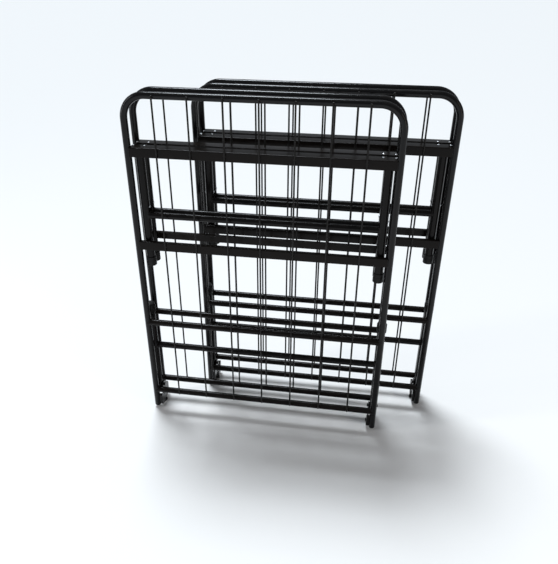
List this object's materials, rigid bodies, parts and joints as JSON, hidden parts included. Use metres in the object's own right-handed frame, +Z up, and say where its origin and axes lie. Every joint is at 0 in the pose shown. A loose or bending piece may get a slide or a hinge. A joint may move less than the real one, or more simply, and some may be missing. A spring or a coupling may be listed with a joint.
{
  "type": "folding bed frame",
  "caption": "Folding platform bed frame in sections: hinged tube leaves with welded wires and crossbars, on leg sets that fold in between the leaves.",
  "frame": {"origin": "on the floor, under the middle of the two folded sections", "axes": "+Z up along the folded leaves, +X along the width of a section, +Y from the front section to the rear one"},
  "size_m": [0.837, 0.222, 0.9685],
  "materials": {
    "black_frame_paint": "gloss black powder paint on round tube",
    "black_bar_paint": "gloss black powder paint on angle and tube",
    "black_wire_paint": "semi-gloss black paint on wire",
    "black_leg_paint": "semi-gloss black paint on leg tube",
    "foot_plastic": "moulded black plastic",
    "zinc_hardware": "bright zinc plate"
  },
  "bodies": {
    "front_base_leaf": {"front_far_frame": "black_frame_paint", "front_far_leg_bar": "black_bar_paint", "front_far_wire_deck": "black_wire_paint", "front_far_low_bar": "black_bar_paint", "front_far_hinge_plate_left": "black_frame_paint", "front_far_hinge_plate_right": "black_frame_paint", "front_far_leg_bolt_left": "zinc_hardware", "front_far_leg_bolt_right": "zinc_hardware", "front_hinge_pin_left": "black_frame_paint", "front_hinge_pin_right": "black_frame_paint", "front_centre_leg_bolt_left": "black_frame_paint", "front_centre_leg_bolt_right": "black_frame_paint"},
    "front_swing_leaf": {"front_near_frame": "black_frame_paint", "front_near_leg_bar": "black_bar_paint", "front_near_wire_deck": "black_wire_paint", "front_near_low_bar": "black_bar_paint", "front_near_hinge_plate_left": "black_frame_paint", "front_near_hinge_plate_right": "black_frame_paint", "front_near_leg_bolt_left": "zinc_hardware", "front_near_leg_bolt_right": "zinc_hardware"},
    "front_near_legs": {"front_near_leg_set": "black_leg_paint", "front_near_leg_foot_left": "foot_plastic", "front_near_leg_foot_right": "foot_plastic"},
    "front_far_legs": {"front_far_leg_set": "black_leg_paint", "front_far_leg_foot_left": "foot_plastic", "front_far_leg_foot_right": "foot_plastic"},
    "front_centre_legs": {"front_centre_leg_set": "black_leg_paint", "front_centre_leg_foot_left": "foot_plastic", "front_centre_leg_foot_right": "foot_plastic"},
    "rear_base_leaf": {"rear_near_frame": "black_frame_paint", "rear_near_leg_bar": "black_bar_paint", "rear_near_wire_deck": "black_wire_paint", "rear_near_low_bar": "black_bar_paint", "rear_near_hinge_plate_left": "black_frame_paint", "rear_near_hinge_plate_right": "black_frame_paint", "rear_near_leg_bolt_left": "zinc_hardware", "rear_near_leg_bolt_right": "zinc_hardware", "rear_hinge_pin_left": "black_frame_paint", "rear_hinge_pin_right": "black_frame_paint", "rear_centre_leg_bolt_left": "black_frame_paint", "rear_centre_leg_bolt_right": "black_frame_paint"},
    "rear_swing_leaf": {"rear_far_frame": "black_frame_paint", "rear_far_leg_bar": "black_bar_paint", "rear_far_wire_deck": "black_wire_paint", "rear_far_low_bar": "black_bar_paint", "rear_far_hinge_plate_left": "black_frame_paint", "rear_far_hinge_plate_right": "black_frame_paint", "rear_far_leg_bolt_left": "zinc_hardware", "rear_far_leg_bolt_right": "zinc_hardware"},
    "rear_near_legs": {"rear_near_leg_set": "black_leg_paint", "rear_near_leg_foot_left": "foot_plastic", "rear_near_leg_foot_right": "foot_plastic"},
    "rear_far_legs": {"rear_far_leg_set": "black_leg_paint", "rear_far_leg_foot_left": "foot_plastic", "rear_far_leg_foot_right": "foot_plastic"},
    "rear_centre_legs": {"rear_centre_leg_set": "black_leg_paint", "rear_centre_leg_foot_left": "foot_plastic", "rear_centre_leg_foot_right": "foot_plastic"}
  },
  "joints": [
    {"name": "rear_section_slide", "type": "slide", "parent": "front_base_leaf", "child": "rear_base_leaf", "axis": [0, 1, 0], "range_m": [0, 0.5]},
    {"name": "front_fold", "type": "hinge", "parent": "front_base_leaf", "child": "front_swing_leaf", "pos_m": [-0.0695, -0.067, 0.006], "axis": [1, 0, 0], "range_deg": [0, 180]},
    {"name": "front_near_legs_hinge", "type": "hinge", "parent": "front_swing_leaf", "child": "front_near_legs", "pos_m": [-0.0695, -0.0821, 0.81495], "axis": [1, 0, 0], "range_deg": [0, 90]},
    {"name": "front_far_legs_hinge", "type": "hinge", "parent": "front_base_leaf", "child": "front_far_legs", "pos_m": [-0.0695, -0.0519, 0.81495], "axis": [-1, 0, 0], "range_deg": [0, 90]},
    {"name": "front_centre_legs_hinge", "type": "hinge", "parent": "front_base_leaf", "child": "front_centre_legs", "pos_m": [-0.0695, -0.067, 0.0645], "axis": [1, 0, 0], "range_deg": [0, 90]},
    {"name": "rear_fold", "type": "hinge", "parent": "rear_base_leaf", "child": "rear_swing_leaf", "pos_m": [0.0695, 0.067, 0.006], "axis": [-1, 0, 0], "range_deg": [0, 180]},
    {"name": "rear_near_legs_hinge", "type": "hinge", "parent": "rear_base_leaf", "child": "rear_near_legs", "pos_m": [0.0695, 0.0519, 0.81495], "axis": [1, 0, 0], "range_deg": [0, 90]},
    {"name": "rear_far_legs_hinge", "type": "hinge", "parent": "rear_swing_leaf", "child": "rear_far_legs", "pos_m": [0.0695, 0.0821, 0.81495], "axis": [-1, 0, 0], "range_deg": [0, 90]},
    {"name": "rear_centre_legs_hinge", "type": "hinge", "parent": "rear_base_leaf", "child": "rear_centre_legs", "pos_m": [0.0695, 0.067, 0.0645], "axis": [-1, 0, 0], "range_deg": [0, 90]}
  ],
  "couplings": [
    {"joint": "front_near_legs_hinge", "follows": "front_fold", "ratio": 0.5},
    {"joint": "front_far_legs_hinge", "follows": "front_fold", "ratio": 0.5},
    {"joint": "front_centre_legs_hinge", "follows": "front_fold", "ratio": 0.5},
    {"joint": "rear_near_legs_hinge", "follows": "rear_fold", "ratio": 0.5},
    {"joint": "rear_far_legs_hinge", "follows": "rear_fold", "ratio": 0.5},
    {"joint": "rear_centre_legs_hinge", "follows": "rear_fold", "ratio": 0.5}
  ]
}
